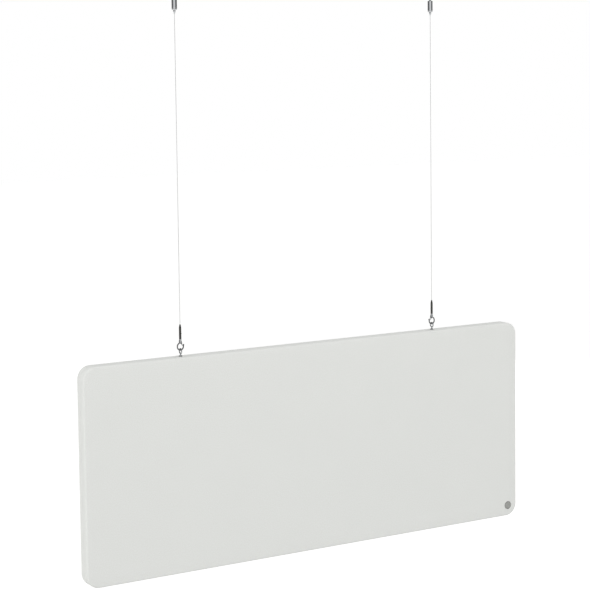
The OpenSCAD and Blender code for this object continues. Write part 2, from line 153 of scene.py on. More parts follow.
def finishPiece(piece, name, body, material, replaced=(), smooth=35):
    piece.name = name
    piece.data.name = name
    applyPlace(piece)
    if smooth:
        bpy.ops.object.shade_smooth_by_angle(angle=radians(smooth))
    piece.data.materials.clear()
    piece.data.materials.append(material)
    if body:
        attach(piece, body)
    if replaced:
        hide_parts(*replaced)
    return piece


def mirrorPiece(piece):
    applyPlace(piece)
    bpy.ops.object.duplicate(linked=False)
    twin = bpy.context.object
    twin.scale = (-1, 1, 1)
    applyPlace(twin)
    bpy.ops.object.mode_set(mode="EDIT")
    bpy.ops.mesh.select_all(action="SELECT")
    bpy.ops.mesh.normals_make_consistent(inside=False)
    bpy.ops.object.mode_set(mode="OBJECT")
    return twin


def bothSides(piece, name, body, material, node, smooth=35):
    twin = mirrorPiece(piece)
    for made, side in ((piece, "left"), (twin, "right")):
        onBody = body if body in frame["bodies"] else body + "_" + side
        finishPiece(made, name + side.capitalize(), onBody, material,
                    [node + "_" + side] if node else [], smooth)


longWall = 1.5       # mm: a turned wall longer than this gets a loop near each end,
loopGap = 0.25       # this far from it, so that it stays straight when shaded smooth


# Turns a profile of (radius, height) in mm about an upright axis, as on a lathe.
# A profile that ends where it starts has a bore; otherwise both ends are closed flat.
def turnPiece(profile, place=(0, 0, 0), segments=48):
    loops = profile[:1]
    for (fromR, fromZ), (toR, toZ) in zip(profile, profile[1:]):
        length = hypot(toR - fromR, toZ - fromZ)
        for share in (loopGap / length, 1 - loopGap / length) if length > longWall else ():
            loops.append((fromR + (toR - fromR) * share, fromZ + (toZ - fromZ) * share))
        loops.append((toR, toZ))
    profile = loops
    clearSelection()
    radius, height = profile[0]
    bpy.ops.mesh.primitive_circle_add(vertices=segments, radius=radius * mm,
                                      fill_type="NOTHING", location=(0, 0, height * mm),
                                      enter_editmode=True)
    for nextRadius, nextHeight in profile[1:]:
        rise = (nextHeight - height) * mm
        bpy.ops.mesh.extrude_edges_move(TRANSFORM_OT_translate={"value": (0, 0, rise)})
        if nextRadius != radius:
            ratio = nextRadius / radius
            bpy.ops.transform.resize(value=(ratio, ratio, 1),
                                     center_override=(0, 0, nextHeight * mm))
        radius, height = nextRadius, nextHeight
    bpy.ops.mesh.select_all(action="SELECT")
    bpy.ops.mesh.remove_doubles(threshold=0.01 * mm)
    bpy.ops.mesh.fill_holes(sides=0)
    bpy.ops.mesh.select_all(action="SELECT")
    bpy.ops.mesh.normals_make_consistent(inside=False)
    bpy.ops.object.mode_set(mode="OBJECT")
    piece = bpy.context.object
    applyPlace(piece)
    piece.location = place
    return piece


# The same, laid down along y
def turnAcross(profile, place=(0, 0, 0), segments=48):
    piece = turnPiece(profile, place, segments)
    piece.rotation_euler = (pi / 2, 0, 0)
    return piece


# The outline of round strands that lie side by side round a core, one turn of them closed
def strandOutline(radius, strands, steps=3):
    half = pi / strands
    centre = radius / (1 + sin(half))
    strand = radius - centre
    curve = bpy.data.curves.new("strandOutline", "CURVE")
    spline = curve.splines.new("POLY")
    spline.points.add(strands * steps - 1)
    spline.use_cyclic_u = True
    for i, point in enumerate(spline.points):
        off = (i % steps / steps * 2 - 1) * half
        reach = centre * cos(off) + max(0, strand ** 2 - (centre * sin(off)) ** 2) ** 0.5
        turn = 2 * pi * i / (strands * steps)
        point.co = (reach * mm * cos(turn), reach * mm * sin(turn), 0, 1)
    outline = bpy.data.objects.new("strandOutline", curve)
    bpy.context.scene.collection.objects.link(outline)
    return outline


# Sweeps a round wire along points in mm; shares thin it at single points, and an outline with
# the turns of each point makes it a twisted strand
def bentWire(points, radius, cyclic=False, shares=None, sidesRound=6, outline=None, turns=None):
    clearSelection()
    curve = bpy.data.curves.new("bentWire", "CURVE")
    curve.dimensions = "3D"
    spline = curve.splines.new("POLY")
    spline.points.add(len(points) - 1)
    for i, (point, target) in enumerate(zip(points, spline.points)):
        target.co = (point[0] * mm, point[1] * mm, point[2] * mm, 1)
        target.radius = shares[i] if shares else 1
        target.tilt = 2 * pi * turns[i] if turns else 0
    spline.use_cyclic_u = cyclic
    curve.bevel_depth = radius * mm
    if outline:
        curve.bevel_mode = "OBJECT"
        curve.bevel_object = outline
    curve.bevel_resolution = sidesRound
    curve.use_fill_caps = not cyclic
    piece = bpy.data.objects.new("bentWire", curve)
    bpy.context.scene.collection.objects.link(piece)
    makeActive(piece)
    bpy.ops.object.convert(target="MESH")
    piece = bpy.context.object
    bpy.ops.object.mode_set(mode="EDIT")
    bpy.ops.mesh.select_all(action="SELECT")
    bpy.ops.mesh.remove_doubles(threshold=0.005 * mm)
    bpy.ops.mesh.normals_make_consistent(inside=False)
    bpy.ops.object.mode_set(mode="OBJECT")
    return piece


# Camera, floor and light

cameraValues = {
    "place": (-2.0993, -3.4654, -0.1822),    # in front and to the left, just under the ceiling
    "turn": (85.0054, 0.6853, -30.7565),     # degrees: slightly down, and 31 to the right
    "lens": 104.51,
    "shiftY": -0.1294,
}
bpy.ops.object.camera_add(location=cameraValues["place"],
                          rotation=[radians(a) for a in cameraValues["turn"]])
cameraPiece = bpy.context.object
cameraPiece.data.sensor_width = 36
cameraPiece.data.lens = cameraValues["lens"]
cameraPiece.data.shift_y = cameraValues["shiftY"]
bpy.context.scene.camera = cameraPiece
bpy.context.scene.view_settings.view_transform = "Standard"

studioValues = {
    "floorHeight": -2.45,
    "floorSize": 60,
    "floorColour": "#efefee",
    "glow": 0.4,             # turns the lit floor just white where it is seen or mirrored
    "skyLight": (1.14, 0.49),    # at the horizon and overhead
    "mirrorLow": 0.2,        # the dark room round the soft box, seen only in polished metal
    "softBox": (0.38, 0.42, 0.6, 0.64),    # shares of a turn: it fades in, is full, fades out
    "boxTurn": 121,          # degrees
    "lampTint": "#fffefc",
    "lamps": {               # place, size, power in watts
        "keyLamp": ((-0.2, -3.0, 2.0), 2.5, 47),
        "sideLamp": ((-8.0, -0.5, -0.8), 4.0, 132),
        "backLamp": ((5.6, 7.0, 0.4), 4.5, 60),
    },
    "aim": (0, 0, -1.0),     # what the lamps point at
}

world = bpy.data.worlds.new("paleStudio")
bpy.context.scene.world = world
world.use_nodes = True
tree = world.node_tree
tree.nodes.clear()
# White where it is looked at, soft light all round, and in mirrors one bright soft box in front
# of a darker room
path = addNode(tree, "LightPath")
around = addNode(tree, "TexCoord")
turned = addNode(tree, "Mapping", {"Vector": around.outputs["Generated"],
                                   "Rotation": (0, 0, radians(studioValues["boxTurn"]))})
compass = addNode(tree, "TexGradient", {"Vector": turned.outputs["Vector"]},
                  gradient_type="RADIAL")
boxes = addNode(tree, "ValToRGB", {"Fac": compass.outputs["Fac"]})
low = studioValues["mirrorLow"]
stops = boxes.color_ramp.elements
fadeIn, bright, fadeOut, dark = studioValues["softBox"]
for place, level in ((0.0, low), (fadeIn, low), (bright, 1.0), (fadeOut, 1.0), (dark, low),
                     (1.0, low)):
    stop = stops[0] if place == 0 else stops[-1] if place == 1 else stops.new(place)
    stop.color = (level, level, level, 1)
heights = addNode(tree, "SeparateXYZ", {"Vector": around.outputs["Generated"]})
overhead = addNode(tree, "MapRange", {"Value": heights.outputs["Z"],
                                      "To Min": studioValues["skyLight"][0],
                                      "To Max": studioValues["skyLight"][1]})
soft = addNode(tree, "MapRange", {"Value": path.outputs["Is Camera Ray"],
                                  "To Min": overhead.outputs["Result"], "To Max": 1})
strength = addNode(tree, "Mix", {0: path.outputs["Is Glossy Ray"], 2: soft.outputs["Result"],
                                 3: boxes.outputs["Color"]})
sky = addNode(tree, "Background", {"Color": (1, 1, 1, 1), "Strength": strength.outputs[0]})
addNode(tree, "OutputWorld", {"Surface": sky.outputs[0]})

# Matt floor paint: pale, and glowing only where it is looked at or mirrored
floorPaint = bpy.data.materials.new("mattFloorPaint")
floorPaint.use_nodes = True
tree = floorPaint.node_tree
tree.nodes.clear()
matt = addNode(tree, "BsdfDiffuse", {"Color": hexColour(studioValues["floorColour"])})
light = addNode(tree, "LightPath")
straight = addNode(tree, "Math", {0: light.outputs["Is Camera Ray"],
                                  1: light.outputs["Is Transmission Ray"]},
                   operation="MAXIMUM")
seen = addNode(tree, "Math", {0: straight.outputs[0], 1: light.outputs["Is Glossy Ray"]},
               operation="MAXIMUM")
glow = addNode(tree, "Math", {0: seen.outputs[0], 1: studioValues["glow"]},
               operation="MULTIPLY")
glowing = addNode(tree, "Emission", {"Strength": glow.outputs[0]})
both = addNode(tree, "AddShader", {0: matt.outputs[0], 1: glowing.outputs[0]})
addNode(tree, "OutputMaterial", {"Surface": both.outputs[0]})

clearSelection()
bpy.ops.mesh.primitive_plane_add(size=studioValues["floorSize"],
                                 location=(0, 0, studioValues["floorHeight"]))
floor = bpy.context.object
floor.name = "floor"
floor.data.materials.append(floorPaint)

for name, (place, size, power) in studioValues["lamps"].items():
    aim = Vector(studioValues["aim"]) - Vector(place)
    bpy.ops.object.light_add(type="AREA", location=place,
                             rotation=aim.to_track_quat("-Z", "Y").to_euler())
    lamp = bpy.context.object
    lamp.name = name
    lamp.data.size = size
    lamp.data.energy = power
    lamp.data.color = hexColour(studioValues["lampTint"])[:3]
    lamp.visible_glossy = False      # polished metal shows the sky's soft box instead
print("stage ready")


# Wires: the only cords, held taut between the grippers and the sleeves

wireValues = {
    "spacing": 700,        # mm between the two wires
    "diameter": 1.2,
    "top": -53.8,          # where a wire bends in its gripper's nozzle
    "mouth": -55,          # the nozzle's opening
    "bottom": panelTop + 49.5,    # the crimped end inside the sleeve
    "clampedEnd": -30.8,   # the upper end, held by the gripper's balls
    "bendLength": 1.2,     # the stretch above the bend, laid in finer steps
    "strands": 12,         # seen from outside, as in a rope of 19 wires
    "layLength": 12,       # one full turn of the strands
    "ringStep": 0.8,       # between two rings of the mesh along the wire
    "bendSteps": 8,
}


def brightWire():
    # Bright drawn steel: pale and smooth, with a soft glint on each twisted strand
    material, tree, shader = startMaterial("drawnSteelStrand", {
        "Base Color": hexColour("#c4c5c5"), "Metallic": 0.25, "Roughness": 0.34})
    place = addNode(tree, "TexCoord")
    grain = addNode(tree, "TexNoise", {"Vector": place.outputs["Object"], "Scale": 900.0,
                                       "Detail": 2.0})
    rough = addNode(tree, "MapRange", {"Value": grain.outputs["Fac"], "To Min": 0.26,
                                       "To Max": 0.42})
    tree.links.new(rough.outputs["Result"], shader.inputs["Roughness"])
    return material


def strandedWire(route):
    v = wireValues
    middle = (v["top"] + v["bottom"]) / 2
    outline = strandOutline(v["diameter"] / 2, v["strands"])
    wire = bentWire(route, v["diameter"] / 2, outline=outline,
                    turns=[(point[2] - middle) / v["layLength"] for point in route])
    bpy.data.objects.remove(outline)
    return wire


wireSteel = brightWire()
for side, sign in (("left", -1), ("right", 1)):
    v = wireValues
    edge = sign * v["spacing"] / 2
    count = round((v["top"] - v["bottom"]) / v["ringStep"])
    route = [(edge, 0, v["top"] + (v["bottom"] - v["top"]) * i / count) for i in range(count + 1)]
    wire = finishPiece(strandedWire(route), "wire" + side.capitalize(), "suspension_" + side,
                       wireSteel, ["wire_" + side])
    # The clamped end runs from the gripper down to where the wire starts, in finer steps over its
    # last stretch
    bendStart = v["top"] + v["bendLength"]
    count = round((v["clampedEnd"] - bendStart) / v["ringStep"])
    route = [(edge, 0, v["clampedEnd"] + (bendStart - v["clampedEnd"]) * i / count)
             for i in range(count)]
    route += [(edge, 0, bendStart - v["bendLength"] * i / v["bendSteps"])
              for i in range(v["bendSteps"] + 1)]
    tail = finishPiece(strandedWire(route), "wireTail" + side.capitalize(), None,
                       wireSteel, ["wire_tail_" + side])
    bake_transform(tail)
print("wires ready")


# Fabric cover: a front and a back half, each stretched over the panel's edge to the seam

coverValues = {
    "width": 1200, "height": 500, "thickness": 36,
    "top": panelTop,
    "cornerRadius": 30,
    "edgeRadius": 4,
    "clothShown": 1.9,      # woven cover with its fleece backing, a little thinner than its room
    "seamGap": 0.6,
    "seamRoll": 1.6,        # how far the cloth turns in at the seam, and in which shares
    "rollShares": (0.15, 0.35, 0.5),
    "columns": 40, "rows": 18,
    "belly": 0.6,           # how far the core swells each face in the middle
    "thread": 1.1,          # thread spacing of the weave
}
onPlane = 1e-6          # metres: a point this near to a plane counts as on it


def wovenCover():
    # Wool and polyester cloth, plain weave in light warm grey mixed from three yarns:
    # matt, faintly cloudy, with a fine crossed relief and a soft sheen at grazing angles
    material, tree, shader = startMaterial("plainWovenWoolCloth", {
        "Base Color": hexColour("#dedfdb"), "Roughness": 0.92, "IOR": 1.45,
        "Specular IOR Level": 0.2, "Sheen Weight": 0.08, "Sheen Roughness": 0.5})
    place = addNode(tree, "UVMap", uv_map="cloth")
    # The waves repeat every 2*pi/20 units at scale 1
    threadScale = 2 * pi / 20 / (coverValues["thread"] * mm)
    wobble = addNode(tree, "TexNoise", {"Vector": place.outputs["UV"], "Scale": 160.0,
                                        "Detail": 2.0})
    shifted = addNode(tree, "VectorMath", {0: wobble.outputs["Color"], 1: (0.0005, 0.0005, 0)},
                      operation="MULTIPLY")
    loose = addNode(tree, "VectorMath", {0: place.outputs["UV"], 1: shifted.outputs["Vector"]},
                    operation="ADD")
    warp, weft = [addNode(tree, "TexWave", {"Vector": loose.outputs["Vector"],
                                            "Scale": threadScale, "Distortion": 0.0},
                          bands_direction=direction) for direction in "XY"]
    weave = addNode(tree, "Math", {0: warp.outputs["Fac"], 1: weft.outputs["Fac"]},
                    operation="MAXIMUM")
    yarns = addNode(tree, "TexNoise", {"Vector": place.outputs["UV"], "Scale": 420.0,
                                       "Detail": 3.0, "Roughness": 0.6})
    clouds = addNode(tree, "TexNoise", {"Vector": place.outputs["UV"], "Scale": 9.0,
                                        "Detail": 2.0})
    mixed = twoTones(tree, yarns.outputs["Fac"], ("#dcddda", "#e1e3e1"), (0.36, 0.64))
    cloudy = addNode(tree, "MapRange", {"Value": clouds.outputs["Fac"], "To Min": 0.99,
                                        "To Max": 1.01})
    # Painted shade: the hollows of the weave, low in the relief, are painted up to 3% darker than
    # the raised threads
    paintedWeaveShade = addNode(tree, "MapRange", {"Value": weave.outputs[0], "To Min": 0.97,
                                       "To Max": 1.01})
    tone = addNode(tree, "Math", {0: cloudy.outputs["Result"], 1: paintedWeaveShade.outputs["Result"]},
                   operation="MULTIPLY")
    colour = addNode(tree, "VectorMath", {0: mixed, "Scale": tone.outputs[0]},
                     operation="SCALE")
    tree.links.new(colour.outputs["Vector"], shader.inputs["Base Color"])
    relief = addNode(tree, "Math", {0: weave.outputs[0], 1: yarns.outputs["Fac"]},
                     operation="ADD")
    addBump(tree, shader, relief.outputs[0], 0.22, 0.3 * mm)
    return material


def selectEdges(piece, test):
    bpy.ops.object.mode_set(mode="EDIT")
    bpy.ops.mesh.select_mode(type="EDGE")
    bpy.ops.mesh.select_all(action="DESELECT")
    bpy.ops.object.mode_set(mode="OBJECT")
    points = [vertex.co for vertex in piece.data.vertices]
    for edge in piece.data.edges:
        edge.select = test(points[edge.vertices[0]], points[edge.vertices[1]])
    bpy.ops.object.mode_set(mode="EDIT")


# The front half faces -1 in y, the back half 1
def coverHalf(facing):
    v = coverValues
    half = v["thickness"] / 2 * mm
    seam = facing * (v["seamGap"] / 2) * mm
    middle = (v["top"] - v["height"] / 2) * mm
    clearSelection()
    bpy.ops.mesh.primitive_cube_add(size=1, location=(0, 0, 0), enter_editmode=True)
    piece = bpy.context.object
    bpy.ops.transform.resize(value=(v["width"] * mm, half - abs(seam), v["height"] * mm))
    bpy.ops.transform.translate(value=(0, facing * (half + abs(seam)) / 2, middle))
    bpy.ops.object.mode_set(mode="OBJECT")
    # The four corners, seen from the front
    selectEdges(piece, lambda a, b: abs(a.y - b.y) > half / 2)
    bpy.ops.mesh.bevel(offset=v["cornerRadius"] * mm, segments=10, affect="EDGES")
    # The face that looks at the seam is taken out
    bpy.ops.mesh.select_all(action="DESELECT")
    bpy.ops.mesh.select_mode(type="FACE")
    bpy.ops.object.mode_set(mode="OBJECT")
    for face in piece.data.polygons:
        face.select = all(abs(piece.data.vertices[i].co.y - seam) < onPlane
                          for i in face.vertices)
    bpy.ops.object.mode_set(mode="EDIT")
    bpy.ops.mesh.delete(type="FACE")
    # The soft edge round the face
    outer = facing * half
    selectEdges(piece, lambda a, b: abs(a.y - outer) < onPlane and abs(b.y - outer) < onPlane)
    bpy.ops.mesh.bevel(offset=v["edgeRadius"] * mm, segments=5, affect="EDGES")
    # The cloth turns in at the seam
    selectEdges(piece, lambda a, b: abs(a.y - seam) < onPlane and abs(b.y - seam) < onPlane)
    roll = v["seamRoll"] * mm
    for share in v["rollShares"]:
        bpy.ops.mesh.extrude_edges_move(TRANSFORM_OT_translate={"value": (0, 0, 0)})
        inwards = roll * share
        bpy.ops.transform.resize(value=(1 - 2 * inwards / (v["width"] * mm), 1,
                                        1 - 2 * inwards / (v["height"] * mm)),
                                 center_override=(0, 0, middle))
    # A grid of cuts lets the flat face swell
    for axis, count, size, start in ((0, v["columns"], v["width"], 0),
                                     (2, v["rows"], v["height"], middle)):
        for i in range(1, count):
            place = [0, 0, 0]
            normal = [0, 0, 0]
            place[axis] = start + (i / count - 0.5) * size * mm
            normal[axis] = 1
            bpy.ops.mesh.select_all(action="SELECT")
            bpy.ops.mesh.bisect(plane_co=place, plane_no=normal)
    bpy.ops.mesh.select_all(action="SELECT")
    bpy.ops.mesh.normals_make_consistent(inside=False)
    bpy.ops.uv.cube_project(cube_size=1.0, correct_aspect=False, scale_to_bounds=False)
    bpy.ops.object.mode_set(mode="OBJECT")
    piece.data.uv_layers[0].name = "cloth"
    for vertex in piece.data.vertices:
        if abs(vertex.co.y - outer) < onPlane:
            across = 1 - (vertex.co.x / (v["width"] / 2 * mm)) ** 2
            down = 1 - ((vertex.co.z - middle) / (v["height"] / 2 * mm)) ** 2
            vertex.co.y += facing * v["belly"] * mm * across * down
    applyModifier(piece, "SOLIDIFY", thickness=v["clothShown"] * mm, offset=-1)
    return piece


cloth = wovenCover()
for name, facing, node in (("coverFront", -1, "front_cover"), ("coverBack", 1, "back_cover")):
    cover = coverHalf(facing)
    print(name, len(cover.data.polygons), "faces")
    finishPiece(cover, name, "panel", cloth, [node], 50)
print("cover ready")


# Metal finishes

# The roughness varies by the spread over a grain of this scale; the bump's depth is in mm
def metal(name, hexTone, rough, spread, scale, bumpDepth=0.0):
    material, tree, shader = startMaterial(name, {"Base Color": hexColour(hexTone),
                                                  "Metallic": 1.0, "Roughness": rough})
    place = addNode(tree, "TexCoord")
    grain = addNode(tree, "TexNoise", {"Vector": place.outputs["Object"], "Scale": scale,
                                       "Detail": 4.0, "Roughness": 0.6})
    varied = addNode(tree, "MapRange", {"Value": grain.outputs["Fac"], "To Min": rough - spread,
                                        "To Max": rough + spread})
    tree.links.new(varied.outputs["Result"], shader.inputs["Roughness"])
    if bumpDepth:
        addBump(tree, shader, grain.outputs["Fac"], 0.4, bumpDepth * mm)
    return material


# Polished chrome on brass: mirror bright, edges drawn dark by what it reflects
chrome = metal("polishedChrome", "#c4c6c8", 0.10, 0.03, 400.0)
# Zinc plated steel, bright: a little milky, with a fine mottle a few tenths of a mm wide
zinc = metal("brightZincPlate", "#a8aaac", 0.28, 0.08, 900.0, 0.02)
# Tumbled zinc-nickel on the hooks: softer and greyer than the chrome
hookSteel = metal("tumbledHookSteel", "#6c6d6f", 0.30, 0.08, 1200.0, 0.015)
# Zinc plate on the eyes and their washers, dull and a little rough
eyeSteel = metal("dullZincPlate", "#b0b2b4", 0.32, 0.08, 900.0, 0.02)
# Black nickel on the sleeve: dark, glossy, with bright streaks of reflection
blackNickel = metal("blackNickelPlate", "#444341", 0.22, 0.05, 700.0)
# Spring steel wire, drawn: smooth and bright along its length
springSteel = metal("drawnSpringSteel", "#a3a6a9", 0.24, 0.06, 1500.0)
# Satin nickel on the badge: an even, fine grain
satinNickel = metal("satinNickel", "#979895", 0.26, 0.06, 1100.0, 0.01)


# Ceiling plates, caps and screws

plateValues = {"radius": 21, "thickness": 4, "holeStep": 14, "holeRadius": 2.25,
               "headRadius": 4.2, "bossRadius": 7, "bossEnd": -11, "seat": 4.55}
screwValues = {"shank": 1.9, "head": 4.2, "slotLength": 4.4, "slotWidth": 0.8,
               "slotHeights": (2.2, 2.24), "slotTurn": 0.4}
capValues = {"radius": 9, "top": -4, "bottom": -13.5, "mouth": 4.4, "sides": 96,
             "flutes": 24, "fluteDepth": 0.25, "fluteRim": 0.12, "fluteEnds": (2.4, 1.4)}
leftX = -wireValues["spacing"] / 2 * mm    # the left wire's, in metres


def makePlate():
    v = plateValues
    r, t = v["radius"], v["thickness"]
    plate = turnPiece([(r, 0), (r, -t + 1.1), (r - 0.12, -t + 0.65), (r - 0.45, -t + 0.28),
                       (r - 1.0, -t), (v["bossRadius"] + 0.6, -t), (v["bossRadius"], -t - 0.6),
                       (v["bossRadius"], v["bossEnd"]), (v["seat"], v["bossEnd"]),
                       (v["seat"], -4.9),
                       (3.2, -4.2), (0.9, -4.1)], (leftX, 0, 0), segments=72)
    for y in (-1, 1):
        hole = turnPiece([(v["holeRadius"], 1), (v["holeRadius"], -t + 1.95),
                          (v["headRadius"], -t), (v["headRadius"], -t - 1)],
                         (leftX, y * v["holeStep"] * mm, 0), segments=32)
        joinBoolean(plate, hole, "DIFFERENCE")
    return plate


def makeScrew(y):
    v = screwValues
    head, face = v["head"], -plateValues["thickness"]
    screw = turnPiece([(v["shank"], 0), (v["shank"], face + 1.9), (head - 0.25, face + 0.25),
                       (head - 0.35, face + 0.05), (head - 1.2, face - 0.25),
                       (0.8, face - 0.4)], (leftX, y * mm, 0), segments=32)
    # The second slot is a hair deeper, so that their floors don't coincide
    for turn, height in zip((0, pi / 2), v["slotHeights"]):
        clearSelection()
        bpy.ops.mesh.primitive_cube_add(size=1, location=(leftX, y * mm, face * mm),
                                        rotation=(0, 0, turn + v["slotTurn"]))
        slotCut = bpy.context.object
        slotCut.scale = (v["slotLength"] * mm, v["slotWidth"] * mm, height * mm)
        joinBoolean(screw, slotCut, "DIFFERENCE")
    return screw


def makeCap():
    v = capValues
    r, low, sides = v["radius"], v["bottom"], v["sides"]
    fluteLow, fluteTop = low + v["fluteEnds"][0], v["top"] - v["fluteEnds"][1]
    cap = turnPiece([(7, v["top"]), (r - 0.4, v["top"]), (r, v["top"] - 0.4),
                     (r, fluteTop), (r, fluteLow), (r, low + 1.2),
                     (r - 0.3, low + 0.4), (r - 1.1, low), (v["mouth"] + 0.3, low),
                     (v["mouth"], low + 0.2), (3.75, low + 1.9), (3.95, low + 2.1),
                     (4.3, -11), (7, -11), (7, v["top"])], (leftX, 0, 0), segments=sides)
    # Flutes for the fingers round the side
    applyPlace(cap)
    bpy.ops.object.mode_set(mode="EDIT")
    bpy.ops.mesh.select_all(action="DESELECT")
    bpy.ops.mesh.select_mode(type="FACE")
    bpy.ops.object.mode_set(mode="OBJECT")
    sidesEach = sides // v["flutes"]
    for face in cap.data.polygons:
        middle = face.center
        outside = Vector((middle.x - leftX, middle.y)).length > (r - 0.2) * mm
        if outside and fluteLow * mm < middle.z < fluteTop * mm:
            turnShare = (atan2(middle.y, middle.x - leftX) / (2 * pi)) % 1
            face.select = int(turnShare * sides) % sidesEach in (0, 1)
    bpy.ops.object.mode_set(mode="EDIT")
    bpy.ops.mesh.inset(thickness=v["fluteRim"] * mm, depth=-v["fluteDepth"] * mm)
    bpy.ops.object.mode_set(mode="OBJECT")
    return cap


bothSides(makePlate(), "ceilingPlate", "ceiling", chrome, "ceiling_plate")
for tag, y in (("Front", -plateValues["holeStep"]), ("Back", plateValues["holeStep"])):
    bothSides(makeScrew(y), "plateScrew" + tag, "ceiling", zinc, None)
bothSides(makeCap(), "socketCap", "ceiling", chrome, "socket_cap", 30)
print("ceiling fittings ready")


# Wire grippers

gripperValues = {"radius": 6, "top": -20, "bottom": -47, "bore": 2.53, "chamberTop": -27.8,
                 "throat": 3.5, "chamber": 4.4, "floor": -45, "nozzleBore": 2.55,
                 "ball": -9.5, "ballRadius": 4.5, "studRadius": 2.5, "studEnd": -27.5}
nozzleValues = {"cageTop": -37.1, "cageBottom": -44.9, "cageRadius": 3.2, "radius": 2.5,
                "end": -55, "taper": 4, "tip": 1.7, "bore": 0.75, "mouth": 1.4,
                "ballHeight": -41, "ballHole": 1.55, "holeStart": 0.3, "holeEnd": 5}
springValues = {"top": -28.1, "bottom": -36.8, "radius": 2.85, "wire": 0.7, "turns": 5,
                "steps": 28, "endPitch": 0.4, "travel": 2}


def makeStud():
    v = gripperValues
    r, ball = v["studRadius"], v["ballRadius"]
    dome = [(ball * sin(radians(a)), v["ball"] + ball * cos(radians(a)))
            for a in range(6, 147, 10)]
    return turnPiece(dome + [(r, -13.25), (r, -14.8), (r - 0.25, -15.1), (r - 0.25, -15.9),
                             (r, -16.2), (r, v["studEnd"] + 0.5), (r - 0.5, v["studEnd"])],
                     (leftX, 0, 0), segments=40)


def makeGripper():
    v = gripperValues
    r, low, top, bore = v["radius"], v["bottom"], v["top"], v["bore"]
    ledge, mouth, chamber = v["floor"], v["nozzleBore"], v["chamber"]
    return turnPiece([(bore, top), (r - 0.9, top), (r - 0.35, top - 0.18),
                      (r - 0.08, top - 0.5), (r, top - 0.9), (r, low + 3.75),
                      (r - 0.08, low + 3.6), (r - 0.35, low + 3.4), (r - 0.35, low + 2.8),
                      (r - 0.08, low + 2.6), (r, low + 2.45), (r, low + 1.4),
                      (r - 0.2, low + 0.9), (r - 0.7, low + 0.3), (r - 1.3, low),
                      (mouth + 0.15, low), (mouth, low + 0.15), (mouth, ledge),
                      (v["throat"], ledge), (chamber, ledge + 10), (chamber, v["chamberTop"]),
                      (bore, v["chamberTop"]), (bore, top)], (leftX, 0, 0), segments=64)


def makeNozzle():
    v = nozzleValues
    r, cage, tip, bore = v["radius"], v["cageRadius"], v["tip"], v["bore"]
    high, low, end = v["cageTop"], v["cageBottom"], v["end"]
    cone = end + v["taper"]
    nozzle = turnPiece([(bore, high), (cage - 0.3, high), (cage, high - 0.3), (cage, low),
                        (r, low), (r, cone + 0.6), (r - 0.05, cone + 0.2), (r - 0.18, cone - 0.3),
                        (tip + 0.12, end + 0.75), (tip, end + 0.35), (tip - 0.12, end + 0.1),
                        (tip - 0.35, end), (tip - 0.5, end + 0.08), (bore + 0.15, end + 1.1),
                        (bore, end + v["mouth"]), (bore, high)], (leftX, 0, 0), segments=48)
    # The three ball holes start a little off the axis, clear of the nozzle's own points
    nozzle.rotation_euler = (0, 0, offGrid)
    for turn in (0, 120, 240):
        hole = turnPiece([(v["ballHole"], v["holeStart"]), (v["ballHole"], v["holeEnd"])],
                         (leftX, 0, v["ballHeight"] * mm), segments=24)
        hole.rotation_euler = (0, pi / 2, radians(turn))
        joinBoolean(nozzle, hole, "DIFFERENCE")
    return nozzle


# A compression spring whose end turns lie closer together
def makeSpring(edge):
    v = springValues
    low, high = v["bottom"] + v["wire"] / 2, v["top"] - v["wire"] / 2
    count = v["turns"] * v["steps"]
    route = []
    for i in range(count + 1):
        share = i / count
        rise = share - (1 - v["endPitch"]) * sin(2 * pi * share) / (2 * pi)
        turn = 2 * pi * v["turns"] * share
        route.append((edge + v["radius"] * cos(turn), v["radius"] * sin(turn),
                      low + (high - low) * rise))
    return bentWire(route, v["wire"] / 2, sidesRound=3)


bothSides(makeStud(), "ballStud", "gripper", zinc, "ball_stud")
bothSides(makeGripper(), "gripperBody", "gripper", chrome, "gripper_body")
bothSides(makeNozzle(), "releaseNozzle", "release", chrome,
          "release_plunger")
for side, sign in (("left", -1), ("right", 1)):
    edge = sign * wireValues["spacing"] / 2
    spring = finishPiece(makeSpring(edge), "releaseSpring" + side.capitalize(), "gripper_" + side,
                         springSteel, ["release_spring_" + side])
    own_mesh(spring)
print("grippers ready")


# Sleeves, forks and pins

sleeveValues = {"end": panelTop + 40, "top": panelTop + 73.5, "radius": 2.75, "tip": 1.45,
                "taper": 9, "taperSteps": 6, "bore": 1.75, "boreTop": panelTop + 58,
                "wireBore": 0.75, "screwHeight": panelTop + 52, "screwRadius": 1.0,
                "screwProud": 0.7, "screwBore": 0.45}
forkValues = {
    "pinHeight": panelTop + 34.5, "slotTop": panelTop + 38.1, "top": panelTop + 40,
    "earRadius": 2.75, "slotHalf": 1.65, "stud": 1.72, "studLength": 8, "pinRadius": 1.0,
    "earThinning": 0.06,     # mm less radius for each mm below the pin
    "spare": 0.4,            # turned longer than needed, and cut to length with the round ends
    "blockWidth": 1.02,      # times the fork's width
    "blockHeight": 16,
    "cutReach": 4,           # half the length of what cuts across the fork
}


def makeSleeve():
    v = sleeveValues
    r, tip, bore, thin = v["radius"], v["tip"], v["bore"], v["wireBore"]
    low, top, inside, steps = v["end"], v["top"], v["boreTop"], v["taperSteps"]
    taper = [(r - (r - tip - 0.2) * (1 - cos(pi * i / steps)) / 2,
              top - v["taper"] * (1 - i / steps)) for i in range(1, steps)]
    sleeve = turnPiece([(bore, low), (r - 0.4, low), (r - 0.12, low + 0.12), (r, low + 0.4),
                        (r, top - v["taper"])] + taper +
                       [(tip + 0.15, top - 0.4), (tip, top - 0.1), (tip - 0.15, top),
                        (thin, top), (thin, inside), (bore, inside), (bore, low)],
                       (leftX, 0, 0), segments=48)
    hole = turnPiece([(v["screwRadius"] + 0.03, 1), (v["screwRadius"] + 0.03, 5)],
                     (leftX, 0, v["screwHeight"] * mm), segments=24)
    hole.rotation_euler = (0, pi / 2, 0)
    joinBoolean(sleeve, hole, "DIFFERENCE")
    return sleeve


